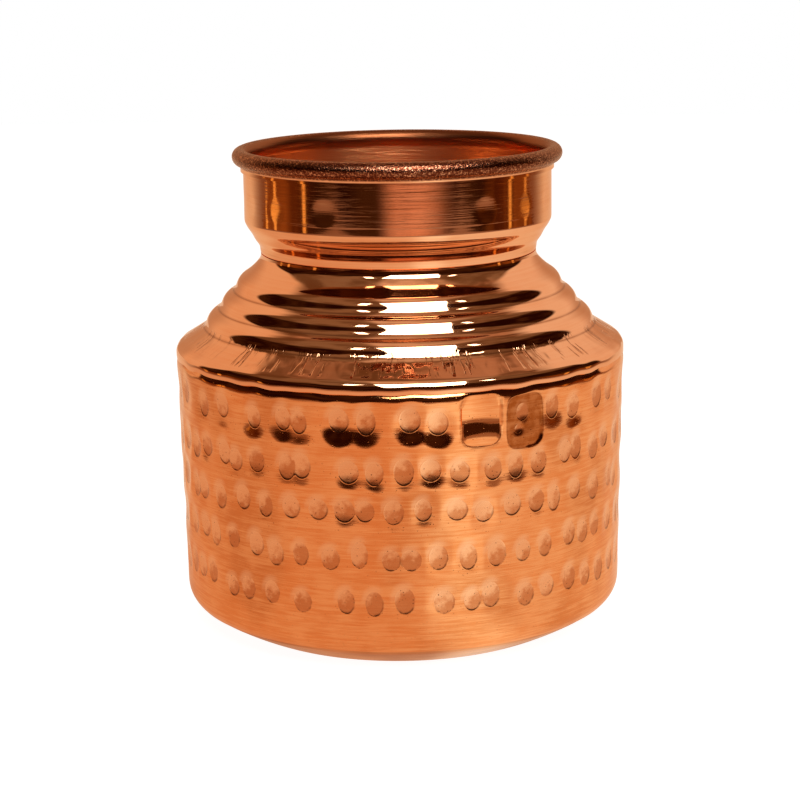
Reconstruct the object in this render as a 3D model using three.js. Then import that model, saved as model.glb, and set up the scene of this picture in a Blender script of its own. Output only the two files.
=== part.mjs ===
// A copper kalash: a round water pot with a hammered drum, a ribbed shoulder, a waisted neck and a wired mouth.
// It is built as a coppersmith builds it, from four pieces of sheet that nest in one another at lapped joints.
// A fillet of brazing metal closes each joint on the inside, and a wire ring stiffens the rolled mouth.
// Sizes are in millimetres. Z points up, and the origin is the middle of the ring that the pot stands on.

import * as THREE from "three";

// Sheet and joints
const sheet = 0.5;
const jointGap = 0.25;
const filletLeg = 1.1;

// Neck and mouth
const waistRadius = 35.2;
const tailDepth = 3;
const neckCurveRadius = 3;
const neckFlare = 31;
const collarStep = 3.95;
const collarEdgeRadius = 0.9;
const collarHeight = 12.5;
const hemHeight = 1.45;
const hemGap = 0.15;
const beadRadius = 2.15;
const wireClearance = 0.15;
const curlEnd = -70;

// Shoulder, from the lip at the waist down to the skirt
const lipHeight = 0.4;
const throatRadius = 2.6;
const throatSlope = 52;
const throatRun = 5.5;
const throatEndSlope = 32;
const ribSteepSlope = 73;
const ribGentleSlope = 26;
const topCrest = 3.05;
const topValley = 2.9;
const middleCrest = 3.2;
const middleValley = 3.1;
const bottomCrest = 3.35;
const bottomValley = 2.65;
const coneLength = 5.97;
const coneSlope = 32;
const knuckleRadius = 3;
const skirtHeight = 0.8;

// Drum
const skirtStep = 0.1;
const drumTaper = 1.1;
const drumWallHeight = 59.3;
const blowPitch = 8.7;
const rowPitch = 11;
const rowDrop = 6.7;
const blowDepth = 0.4;
const knuckleLapTurn = 25;
const cornerRadius = 5.9;
const cornerTurn = 50;

// Base dish
const flangeHeight = 2.2;
const standInset = 15.4;
const standRounding = 4;
const standSlope = 23.5;
const standWidth = 7;
const pushUp = 1.2;
const pushUpRun = 2.4;

// Smoothness of the turned shapes, of which the drum has two segments to a blow instead
const turnSegments = 48;
const wireSides = 10;

// A lapped sheet lies one sheet and one gap inside the sheet that covers it.
const lap = sheet + jointGap;

const radians = (degrees) => (degrees * Math.PI) / 180;
const point = (r, z) => new THREE.Vector2(r, z);

// The point at an angle on a circle; 0 degrees points away from the axis and 90 degrees points up.
function onCircle(centre, radius, angle) {
  return point(centre.x + radius * Math.cos(radians(angle)), centre.y + radius * Math.sin(radians(angle)));
}

function arc(centre, radius, from, to, steps) {
  const points = [];
  for (let i = 0; i <= steps; i++) points.push(onCircle(centre, radius, from + ((to - from) * i) / steps));
  return points;
}

// How far round a circle a short length of its rim reaches, in degrees.
function turnOf(length, radius) {
  return THREE.MathUtils.radToDeg(length / radius);
}

// The line that runs beside another one, a distance to its left.
function offsetLine(line, distance) {
  return line.map((here, i) => {
    const before = line[Math.max(i - 1, 0)];
    const after = line[Math.min(i + 1, line.length - 1)];
    const into = (i === 0 ? after.clone().sub(here) : here.clone().sub(before)).normalize();
    const out = (i === line.length - 1 ? into.clone() : after.clone().sub(here)).normalize();
    const leftIn = point(-into.y, into.x);
    const leftOut = point(-out.y, out.x);
    const mitre = leftIn.clone().add(leftOut).divideScalar(1 + leftIn.dot(leftOut));
    return here.clone().addScaledVector(mitre, distance);
  });
}

// A closed section of sheet metal: the line that runs up its outer side, and the same line one sheet further in.
function sheetSection(outerLine) {
  return [...outerLine, ...offsetLine(outerLine, sheet).reverse()];
}

// Turns a section about the Z axis into one closed body whose faces point out.
// A section that starts and ends on the axis is closed by the axis itself.
function turned(section, segments = turnSegments) {
  const outline = THREE.ShapeUtils.isClockWise(section) ? [...section].reverse() : [...section];
  if (outline[0].x > 0) outline.push(outline[0]);
  return new THREE.LatheGeometry(outline, segments).rotateX(Math.PI / 2);
}

// Lengthens a line by a curve that turns from one slope to another. A slope is in degrees below the level.
function bend(line, length, fromSlope, toSlope, steps) {
  for (let i = 0; i < steps; i++) {
    const slope = fromSlope + ((toSlope - fromSlope) * (i + 0.5)) / steps;
    line.push(onCircle(line[line.length - 1], length / steps, -slope));
  }
}

// The shoulder's outer line, from its skirt up to its lip, with the top of the lip at height 0.
// Each rib is a crest that turns from the gentle slope to the steep one, with a valley below it that turns back.
function shoulderLine() {
  const throatCentre = point(waistRadius + throatRadius, -lipHeight);
  const line = [point(waistRadius, 0), ...arc(throatCentre, throatRadius, 180, 270 - throatSlope, 4)];
  bend(line, throatRun, throatSlope, throatEndSlope, 3);
  bend(line, topCrest, throatEndSlope, ribSteepSlope, 4);
  bend(line, topValley, ribSteepSlope, ribGentleSlope, 4);
  bend(line, middleCrest, ribGentleSlope, ribSteepSlope, 4);
  bend(line, middleValley, ribSteepSlope, ribGentleSlope, 4);
  bend(line, bottomCrest, ribGentleSlope, ribSteepSlope, 4);
  bend(line, bottomValley, ribSteepSlope, coneSlope, 4);
  bend(line, coneLength, coneSlope, coneSlope, 1);
  const knuckle = onCircle(line[line.length - 1], knuckleRadius, -90 - coneSlope);
  line.push(...arc(knuckle, knuckleRadius, 90 - coneSlope, 0, 4).slice(1));
  line.push(point(knuckle.x + knuckleRadius, knuckle.y - skirtHeight));
  return line.reverse();
}

const looseShoulder = shoulderLine();
const shoulderRadius = looseShoulder[0].x;
const drumTopRadius = shoulderRadius - skirtStep;
const drumFootRadius = drumTopRadius - drumTaper;

// The base dish stands on a flat ring, curves up to the drum's seam, and steps in behind the drum's lower edge.
const standRadius = drumFootRadius - standInset;
const cornerCentreRadius = drumFootRadius - cornerRadius;
const seamTurn = cornerTurn + turnOf(lap, cornerRadius);
const seamSlope = 90 - seamTurn;
const seamRadius = cornerCentreRadius + cornerRadius * Math.cos(radians(seamTurn));
const roundingCentre = point(standRadius, standRounding);
const roundingEnd = onCircle(roundingCentre, standRounding, -90 + standSlope);
const underRadius =
  (seamRadius - roundingEnd.x) / (Math.sin(radians(seamSlope)) - Math.sin(radians(standSlope)));
const underCentre = onCircle(roundingEnd, underRadius, 90 + standSlope);
const seamHeight = onCircle(underCentre, underRadius, -90 + seamSlope).y;
const cornerCentre = point(cornerCentreRadius, seamHeight + cornerRadius * Math.sin(radians(seamTurn)));
const flangeTop = cornerCentre.y + flangeHeight;

// The shoulder's skirt covers the drum's top edge, which is tucked in round the knuckle's centre.
const drumJoint = cornerCentre.y + drumWallHeight;
const skirtFoot = drumJoint + jointGap;
const firstRow = drumJoint - rowDrop;
const blowRows = Math.floor((firstRow - cornerCentre.y) / rowPitch + 0.5);
const blowsPerRow = Math.round((2 * Math.PI * drumFootRadius) / blowPitch);
const knuckleCentre = point(shoulderRadius - knuckleRadius, skirtFoot + skirtHeight);
const neckJoint = skirtFoot - looseShoulder[0].y;
const waistHeight = neckJoint - lipHeight;
const shoulderOuter = looseShoulder.map((p) => point(p.x, p.y + neckJoint));

// The neck steps in behind the shoulder's lip, and flares out to the collar.
const collarRadius = waistRadius + collarStep;
const neckCurveStart = neckJoint + lap;
const neckCurveCentre = point(waistRadius + neckCurveRadius, neckCurveStart);
const neckCurveEnd = onCircle(neckCurveCentre, neckCurveRadius, 180 - neckFlare);
const collarEdgeRun = collarEdgeRadius * (1 - Math.cos(radians(neckFlare)));
const flareRise = (collarRadius - collarEdgeRun - neckCurveEnd.x) / Math.tan(radians(neckFlare));
const collarEdgeHeight =
  neckCurveEnd.y + flareRise + collarEdgeRadius * Math.sin(radians(neckFlare));
const collarEdgeCentre = point(collarRadius - collarEdgeRadius, collarEdgeHeight);
const hemFoot = collarEdgeHeight + collarHeight;
const curlRadius = beadRadius - sheet;
const curlReach = hemGap + sheet;
const beadCentre = point(collarRadius + curlReach, hemFoot + hemHeight + beadRadius);

function baseDish() {
  const innerStand = standRadius - standWidth;
  const lapRadius = cornerRadius - lap;
  const outer = [
    point(0, pushUp),
    point(innerStand - pushUpRun, pushUp),
    point(innerStand, 0),
    ...arc(roundingCentre, standRounding, -90, -90 + standSlope, 2),
    ...arc(underCentre, underRadius, -90 + standSlope, -90 + seamSlope, 3).slice(1),
    ...arc(cornerCentre, lapRadius, -cornerTurn - turnOf(jointGap, lapRadius), 0, 4),
    point(cornerCentre.x + lapRadius, flangeTop),
  ];
  const inner = offsetLine(outer, sheet);
  inner[0].x = 0;
  return turned([...outer, ...inner.reverse()]);
}

// The drum's outer radius at a height on its wall.
function drumRadiusAt(height) {
  return drumFootRadius + (drumTaper * (height - cornerCentre.y)) / drumWallHeight;
}

function drumWall() {
  const wall = [];
  for (let i = 2 * blowRows; i >= 0; i--) {
    const height = firstRow + ((1 - i) * rowPitch) / 2;
    wall.push(point(drumRadiusAt(height), height));
  }
  const section = sheetSection([
    ...arc(cornerCentre, cornerRadius, -cornerTurn, 0, 4),
    ...wall,
    point(drumTopRadius, drumJoint - sheet),
    point(shoulderRadius - lap, drumJoint),
    ...arc(knuckleCentre, knuckleRadius - lap, 0, knuckleLapTurn, 2),
  ]);
  return hammered(turned(section, 2 * blowsPerRow));
}

// Presses a shallow hollow into both faces of the drum at each blow, with the rows set half a blow apart.
function hammered(drum) {
  const position = drum.getAttribute("position");
  for (let i = 0; i < position.count; i++) {
    const x = position.getX(i);
    const y = position.getY(i);
    const row = (firstRow - position.getZ(i)) / rowPitch;
    if (row < -0.5 || row > blowRows - 0.5) continue;
    const blow = (Math.atan2(x, -y) / (2 * Math.PI)) * blowsPerRow + Math.round(row) / 2;
    const depth = blowDepth * (Math.cos(Math.PI * row) * Math.cos(Math.PI * blow)) ** 2;
    const share = 1 - depth / Math.hypot(x, y);
    position.setXY(i, x * share, y * share);
  }
  return drum;
}

// The neck's line runs up the side that faces out on the wall and faces the wire inside the rolled mouth.
function neckCollar() {
  const wallMeetsCurl = 180 + THREE.MathUtils.radToDeg(Math.acos(curlReach / curlRadius));
  const hemRadius = collarRadius + hemGap;
  return turned(
    sheetSection([
      point(waistRadius - lap, waistHeight - tailDepth),
      point(waistRadius - lap, neckJoint + jointGap),
      ...arc(neckCurveCentre, neckCurveRadius, 180, 180 - neckFlare, 3),
      ...arc(collarEdgeCentre, collarEdgeRadius, -neckFlare, 0, 2),
      ...arc(beadCentre, curlRadius, wallMeetsCurl, curlEnd, 11),
      point(hemRadius, beadCentre.y - curlRadius),
      point(hemRadius, hemFoot),
    ]),
  );
}

function rimWire() {
  return turned(arc(beadCentre, curlRadius - wireClearance, 0, 360, wireSides).slice(1));
}

// Brazing metal in the corner over the base dish's flange, against the drum.
function baseBraze() {
  const foot = flangeTop + jointGap;
  const seatAt = (height) => drumRadiusAt(height) - lap;
  return turned([
    point(seatAt(foot) - filletLeg, foot),
    point(seatAt(foot), foot),
    point(seatAt(foot + filletLeg), foot + filletLeg),
  ]);
}

// Brazing metal beyond the drum's tucked edge, against the inside of the knuckle.
function shoulderBraze() {
  const seat = knuckleRadius - lap;
  const start = knuckleLapTurn + turnOf(jointGap, seat);
  const end = start + turnOf(filletLeg, seat);
  return turned([onCircle(knuckleCentre, seat - sheet, start), ...arc(knuckleCentre, seat, start, end, 2)]);
}

// The point of a line at which its x or y passes a value.
function pointAt(line, axis, value) {
  const end = line.findIndex((p, i) => i > 0 && (p[axis] - value) * (line[i - 1][axis] - value) <= 0);
  const start = line[end - 1];
  return start.clone().lerp(line[end], (value - start[axis]) / (line[end][axis] - start[axis]));
}

// Brazing metal in the wedge between the neck's tail and the shoulder's throat.
function neckBraze() {
  const seat = offsetLine(shoulderOuter, lap);
  const tail = waistRadius - lap + jointGap;
  const top = pointAt(seat, "x", tail + jointGap).y;
  const foot = top - filletLeg;
  return turned([
    point(tail, foot),
    pointAt(seat, "y", foot),
    pointAt(seat, "y", (foot + top) / 2),
    point(tail, top),
  ]);
}

// Finishes
const mirrorCopper = { color: 0xe08a5c, roughness: 0.12, metalness: 1 };
const satinCopper = { color: 0xe07f45, roughness: 0.34, metalness: 1 };
const wireCopper = { color: 0xb5613c, roughness: 0.45, metalness: 1 };
const brazeMetal = { color: 0xc79a5a, roughness: 0.4, metalness: 1 };

const kalash = new THREE.Group();
kalash.name = "kalash";

function add(name, geometry, finish) {
  const mesh = new THREE.Mesh(geometry, new THREE.MeshStandardMaterial(finish));
  mesh.name = name;
  kalash.add(mesh);
}

add("base_dish", baseDish(), satinCopper);
add("drum_wall", drumWall(), satinCopper);
add("shoulder", turned(sheetSection(shoulderOuter)), mirrorCopper);
add("neck_collar", neckCollar(), mirrorCopper);
add("rim_wire", rimWire(), wireCopper);
add("base_braze", baseBraze(), brazeMetal);
add("shoulder_braze", shoulderBraze(), brazeMetal);
add("neck_braze", neckBraze(), brazeMetal);

export default kalash;
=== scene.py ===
"""A copper kalash with its looks: hammered drum, ribbed shoulder, waisted neck, rolled mouth and dished base.

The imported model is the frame. Each of its four pieces of sheet is turned again here with a finer surface, hammered
or polished, and stands for its CAD node. The wire and the brazed joints keep their CAD shapes and get a finish.
Sizes are in metres. Z points up, and the photograph looks along +Y. An azimuth is counted from the front, to the
right.
"""

import logging
import math
import random
from dataclasses import dataclass, field
from enum import Enum
from typing import Optional, Sequence, Union

import bpy
import numpy as np
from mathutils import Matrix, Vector


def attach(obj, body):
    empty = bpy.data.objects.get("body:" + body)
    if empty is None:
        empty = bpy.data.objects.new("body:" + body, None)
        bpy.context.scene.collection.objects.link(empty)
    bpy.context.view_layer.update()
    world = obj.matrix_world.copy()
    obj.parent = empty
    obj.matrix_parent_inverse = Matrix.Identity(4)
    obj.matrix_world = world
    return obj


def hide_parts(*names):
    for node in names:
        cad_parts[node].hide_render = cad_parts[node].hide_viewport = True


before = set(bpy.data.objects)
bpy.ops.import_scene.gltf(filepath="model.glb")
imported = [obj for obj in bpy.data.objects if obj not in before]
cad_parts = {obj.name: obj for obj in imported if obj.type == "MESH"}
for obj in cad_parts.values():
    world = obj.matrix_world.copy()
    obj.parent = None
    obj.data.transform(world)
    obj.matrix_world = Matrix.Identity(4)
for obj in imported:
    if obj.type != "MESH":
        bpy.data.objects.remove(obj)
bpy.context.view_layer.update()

log = logging.getLogger("kalash")

MM = 0.001
ROOT = "root"

Point = tuple[float, float]
Colour = tuple[float, float, float]
Pair = tuple[Colour, Colour]

# Everything white that the pot's metal shows is tinted by this warm light.
WARM_LIGHT: Colour = (1.0, 0.71, 0.53)


class Slot(Enum):
    """The record's material slots."""

    DRUM = "drum_copper"
    BASE = "base_copper"
    SHOULDER = "shoulder_copper"
    NECK = "neck_copper"
    WIRE = "wire_copper"
    BRAZE = "braze_metal"


@dataclass(frozen=True)
class Wire:
    """A socket of a tree that can be used in arithmetic. Each sum or product adds a Math node."""

    tree: "ShaderTree"
    socket: bpy.types.NodeSocket

    def maths(self, operation: str, *values: "Value") -> "Wire":
        """The result of a Math node with an operation and its inputs in order."""
        return self.tree.add("ShaderNodeMath", {"operation": operation}, dict(enumerate(values)))

    def __add__(self, other: "Value") -> "Wire":
        """This plus another value."""
        return self.maths("ADD", self, other)

    def __sub__(self, other: "Value") -> "Wire":
        """This minus another value."""
        return self.maths("SUBTRACT", self, other)

    def __rsub__(self, other: "Value") -> "Wire":
        """Another value minus this."""
        return self.maths("SUBTRACT", other, self)

    def __mul__(self, other: "Value") -> "Wire":
        """This times another value."""
        return self.maths("MULTIPLY", self, other)

    __radd__ = __add__
    __rmul__ = __mul__


Value = Union[Wire, float, int, Sequence[float]]


class ShaderTree:
    """Builds the nodes of one material or world."""

    # The Mix node's sockets for colours.
    MIX_COLOURS: tuple[int, int] = (6, 7)
    MIX_RESULT: int = 2

    def __init__(self, owner: Union[bpy.types.Material, bpy.types.World]) -> None:
        """Empties the owner's node tree."""
        owner.use_nodes = True
        self.tree = owner.node_tree
        self.tree.nodes.clear()

    def add(self, kind: str, settings: Optional[dict] = None, inputs: Optional[dict] = None,
            output: Union[int, str] = 0) -> Wire:
        """Adds a node.

        Args:
            kind: the node's type.
            settings: its properties, such as an operation, set before its sockets.
            inputs: values or wires by socket name or number.
            output: the socket that the result is read from.

        Returns:
            The chosen output.
        """
        node = self.tree.nodes.new(kind)
        for key, value in (settings or {}).items():
            setattr(node, key, value)
        for key, value in (inputs or {}).items():
            if isinstance(value, Wire):
                self.tree.links.new(value.socket, node.inputs[key])
            else:
                node.inputs[key].default_value = value
        return Wire(self, node.outputs[output])

    def end(self, kind: str, shader: Wire) -> None:
        """Joins the finished shader to an output node of a kind."""
        node = self.tree.nodes.new(kind)
        self.tree.links.new(shader.socket, node.inputs["Surface"])

    def place(self) -> Wire:
        """The object's own coordinates, which are the frame's."""
        return self.add("ShaderNodeTexCoord", output="Object")

    def attribute(self, name: str) -> tuple[Wire, Wire, Wire]:
        """The three numbers of a vector attribute of the mesh."""
        return self.parts(self.add("ShaderNodeAttribute", {"attribute_name": name}, output="Vector"))

    def azimuth(self, x: Wire, y: Wire) -> Wire:
        """The angle of a place or way, round from the front to the right."""
        return x.maths("ARCTAN2", x, 0.0 - y)

    def parts(self, vector: Wire) -> tuple[Wire, Wire, Wire]:
        """The X, Y and Z of a vector."""
        first = self.add("ShaderNodeSeparateXYZ", inputs={0: vector})
        return tuple(Wire(self, output) for output in first.socket.node.outputs)

    def scaled(self, vector: Wire, around: float, up: float) -> Wire:
        """A vector with its X and Y times one factor and its Z times another, for patterns that run round the pot."""
        return self.add("ShaderNodeMapping", inputs={"Vector": vector, "Scale": (around, around, up)})

    def noise(self, vector: Wire, pitch: float = 1.0, detail: float = 2.0, roughness: float = 0.5) -> Wire:
        """Smooth noise from 0 to 1."""
        return self.add("ShaderNodeTexNoise", inputs={
            "Vector": vector, "Scale": 1 / pitch, "Detail": detail, "Roughness": roughness})

    def cells(self, vector: Wire, pitch: float) -> Wire:
        """The distance to the nearest middle in a pattern of cells."""
        return self.add("ShaderNodeTexVoronoi", {"feature": "F1"}, {"Vector": vector, "Scale": 1 / pitch})

    def step(self, value: Wire, low: float, high: float, first: float = 0.0, last: float = 1.0) -> Wire:
        """A smooth step from first to last as the value runs from low to high."""
        return self.add("ShaderNodeMapRange", {"interpolation_type": "SMOOTHSTEP"}, {
            "Value": value, "From Min": low, "From Max": high, "To Min": first, "To Max": last})

    def window(self, value: Wire, start: float, full: float, last: float, end: float) -> Wire:
        """1 from full to last, with a smooth step up from start and one down to end."""
        return self.step(value, start, full) * self.step(value, end, last)

    def mix(self, first: Union[Wire, Colour], second: Union[Wire, Colour], share: Value, blend: str = "MIX") -> Wire:
        """A colour between two, with the share of the second, or the two joined by another blend such as MULTIPLY."""
        colours = {socket: colour if isinstance(colour, Wire) else (*colour, 1.0)
                   for socket, colour in zip(self.MIX_COLOURS, (first, second))}
        settings = {"data_type": "RGBA", "blend_type": blend}
        return self.add("ShaderNodeMix", settings, {0: share, **colours}, self.MIX_RESULT)

    def layers(self, ground: Union[Wire, Colour], *layers: tuple[Union[Wire, Colour], Value]) -> Wire:
        """A ground colour with others laid over it in turn, each with its share."""
        for colour, share in layers:
            ground = self.mix(ground, colour, share)
        return ground

    def brushed(self, length: float, pitch: float, detail: float = 2.0, roughness: float = 0.5) -> Wire:
        """Noise drawn out to lines of a length that run round the pot, a pitch apart."""
        return self.noise(self.scaled(self.place(), 1 / length, 1 / pitch), 1.0, detail, roughness)

    def unrolled(self, radius: float, length: float, pitch: float, detail: float = 1.0) -> Wire:
        """Noise on the surface rolled out at a radius.

        Args:
            radius: where a length round the pot is measured.
            length: how long a spot is.
            pitch: how high it is, or 0 for spots that reach from top to bottom.
            detail: how much finer noise lies over it.

        Returns:
            The pattern.
        """
        x, y, z = self.parts(self.place())
        around = self.azimuth(x, y) * (radius / length)
        up = z * (1 / pitch if pitch else 0.0)
        return self.noise(self.add("ShaderNodeCombineXYZ", inputs={0: around, 1: up}), detail=detail)

    def bump(self, height: Wire) -> Wire:
        """A normal from a height in millimetres."""
        return self.add("ShaderNodeBump", inputs={"Height": height, "Distance": MM, "Strength": 1.0})


@dataclass
class Outline:
    """A line of radius and height, drawn with compass and rule. Angles are in degrees, and 0 points outwards."""

    points: list[Point] = field(default_factory=list)

    def to(self, radius: float, height: float) -> "Outline":
        """Adds a point."""
        self.points.append((radius, height))
        return self

    def arc(self, centre: Point, radius: float, start: float, end: float, steps: int = 16) -> "Outline":
        """Adds an arc.

        Args:
            centre: the arc's centre.
            radius: its radius.
            start: the angle of its first point.
            end: the angle of its last point.
            steps: into how many chords it is cut.

        Returns:
            The outline itself.
        """
        for i in range(steps + 1):
            self.points.append(on_circle(centre, radius, start + (end - start) * i / steps))
        return self

    def bend(self, length: float, from_slope: float, to_slope: float, steps: int = 16) -> "Outline":
        """Adds a curve that turns from one slope to another. A slope is in degrees below the level.

        Args:
            length: the curve's length.
            from_slope: its slope at the start.
            to_slope: its slope at the end.
            steps: into how many chords it is cut.

        Returns:
            The outline itself.
        """
        for i in range(steps):
            slope = from_slope + (to_slope - from_slope) * (i + 0.5) / steps
            self.points.append(on_circle(self.points[-1], length / steps, -slope))
        return self

    def spaced(self, spacing: float, passes: int = 0) -> "Outline":
        """The same line in equal steps, with its corners rubbed round.

        Args:
            spacing: the length of a step.
            passes: how often each inner point moves towards its neighbours.

        Returns:
            A new outline with the same ends.
        """
        line = np.array(self.points)
        along = np.concatenate([[0.0], np.cumsum(np.hypot(*np.diff(line, axis=0).T))])
        count = max(2, round(along[-1] / spacing) + 1)
        places = np.linspace(0.0, along[-1], count)
        line = np.column_stack([np.interp(places, along, line[:, i]) for i in (0, 1)])
        for _ in range(passes):
            line[1:-1] += 0.25 * (line[:-2] + line[2:] - 2 * line[1:-1])
        return Outline([tuple(p) for p in line])

    def beside(self, distance: float) -> "Outline":
        """The line that runs a distance to the left of this one."""
        line = np.array(self.points)
        run = np.gradient(line, axis=0)
        run /= np.hypot(*run.T)[:, None]
        return Outline([(r - distance * dz, z + distance * dr) for (r, z), (dr, dz) in zip(line, run)])


def on_circle(centre: Point, radius: float, angle: float) -> Point:
    """The point of a circle at an angle in degrees."""
    return centre[0] + radius * math.cos(math.radians(angle)), centre[1] + radius * math.sin(math.radians(angle))


def turn_of(length: float, radius: float) -> float:
    """How far round a circle a short length reaches, in degrees."""
    return math.degrees(length / radius)


def turned(name: str, section: Outline, columns: int) -> bpy.types.Object:
    """Turns a closed section about the Z axis.

    Args:
        name: the piece's name.
        section: the section of the metal, once round.
        columns: how many steps make a whole turn.

    Returns:
        The closed piece, in place, with its faces pointing out.
    """
    bpy.ops.object.select_all(action="DESELECT")
    first = section.points[0]
    bpy.ops.mesh.primitive_plane_add(size=MM, location=(first[0], 0.0, first[1]))
    piece = bpy.context.object
    piece.name = name
    piece.data.name = name
    bpy.ops.object.transform_apply(location=True)
    bpy.ops.object.mode_set(mode="EDIT")
    bpy.ops.mesh.select_mode(type="VERT")
    bpy.ops.mesh.select_all(action="SELECT")
    bpy.ops.mesh.merge(type="CENTER")
    for (r0, z0), (r1, z1) in zip(section.points, section.points[1:]):
        bpy.ops.mesh.extrude_vertices_move(TRANSFORM_OT_translate={"value": (r1 - r0, 0.0, z1 - z0)})
    bpy.ops.object.mode_set(mode="OBJECT")
    lathe = piece.modifiers.new("lathe", "SCREW")
    lathe.steps = lathe.render_steps = columns
    lathe.use_merge_vertices = True
    lathe.merge_threshold = 0.001 * MM
    bpy.ops.object.modifier_apply(modifier=lathe.name)
    bpy.ops.object.mode_set(mode="EDIT")
    bpy.ops.mesh.select_all(action="SELECT")
    bpy.ops.mesh.remove_doubles(threshold=0.002 * MM)
    bpy.ops.mesh.normals_make_consistent(inside=False)
    bpy.ops.object.mode_set(mode="OBJECT")
    return piece


@dataclass
class Places:
    """Where the points of a turned piece are."""

    azimuth: np.ndarray
    radius: np.ndarray
    height: np.ndarray

    @classmethod
    def of(cls, piece: bpy.types.Object) -> "Places":
        """Reads the places from a piece's mesh."""
        points = np.empty(3 * len(piece.data.vertices))
        piece.data.vertices.foreach_get("co", points)
        x, y, z = points.reshape(-1, 3).T
        return cls(np.arctan2(x, -y), np.hypot(x, y), z)

    def write(self, piece: bpy.types.Object) -> None:
        """Moves the points of the piece's mesh to these places."""
        points = np.column_stack([
            self.radius * np.sin(self.azimuth), -self.radius * np.cos(self.azimuth), self.height])
        piece.data.vertices.foreach_set("co", points.ravel())
        piece.data.update()


def smooth(value: np.ndarray) -> np.ndarray:
    """A smooth step that is 0 below 0 and 1 above 1."""
    share = np.clip(value, 0.0, 1.0)
    return share * share * (3.0 - 2.0 * share)


def wrapped(angle: np.ndarray) -> np.ndarray:
    """An angle brought between minus half a turn and half a turn."""
    return (angle + math.pi) % (2 * math.pi) - math.pi


@dataclass(frozen=True)
class Waves:
    """An uneven line round the pot, made of a few waves with seeded phases."""

    seed: int
    height: float
    lowest: int
    highest: int

    def at(self, azimuth: np.ndarray) -> np.ndarray:
        """The line's offset at each azimuth."""
        draw = random.Random(self.seed)
        counts = range(self.lowest, self.highest + 1)
        total = np.zeros_like(azimuth)
        for count in counts:
            total += draw.uniform(0.3, 1.0) * np.sin(count * azimuth + draw.uniform(0.0, 2 * math.pi))
        return total * self.height / math.sqrt(len(counts))


# The drum and the shoulder share the unevenness of their seam.
SEAM_WAVES = Waves(seed=31, height=0.27 * MM, lowest=9, highest=47)


@dataclass(frozen=True)
class Joinery:
    """Sizes that the pieces of sheet share. The unevenness of a seam fades out over a height."""

    sheet: float = 0.5 * MM
    gap: float = 0.25 * MM
    seam_fade: float = 5 * MM

    @property
    def lap(self) -> float:
        """How far inside its cover a lapped sheet lies."""
        return self.sheet + self.gap


@dataclass(frozen=True)
class Copper:
    """A copper finish: its colour where clean, deep and seen edge-on, how rough it is, and its buffing lines."""

    name: str
    slot: Slot
    clean: Colour
    deep: Colour
    roughness: float
    line_depth: float = 0.0
    line_pitch: float = 0.8 * MM
    line_length: float = 20 * MM
    tone_pitch: float = 14 * MM
    edge: Colour = (1.0, 0.9, 0.8)

    def lines(self, tree: ShaderTree, finer: float = 1.0) -> Wire:
        """The finish's fine lines that run round the pot, from 0 to 1, or lines that many times finer."""
        return tree.brushed(self.line_length / finer, self.line_pitch / finer, 3.0, 0.6)

    def surface(self, tree: ShaderTree) -> dict:
        """The inputs of the metal's shader: colour, roughness and normal."""
        lines = self.lines(tree)
        tone = tree.noise(tree.place(), self.tone_pitch)
        share = 0.55 * tone + 0.45 * lines
        return {
            "Base Color": tree.mix(self.clean, self.deep, tree.step(share, 0.35, 0.7)),
            "Roughness": tree.step(tone, 0.3, 0.7, 0.85 * self.roughness, 1.2 * self.roughness),
            "Normal": tree.bump(lines * (self.line_depth / MM)),
        }

    def material(self) -> bpy.types.Material:
        """Makes the finish's material."""
        material = bpy.data.materials.new(self.name)
        tree = ShaderTree(material)
        shader = tree.add("ShaderNodeBsdfPrincipled", inputs={
            "Metallic": 1.0, "Specular Tint": (*self.edge, 1.0), **self.surface(tree)})
        tree.end("ShaderNodeOutputMaterial", shader)
        return material


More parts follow.
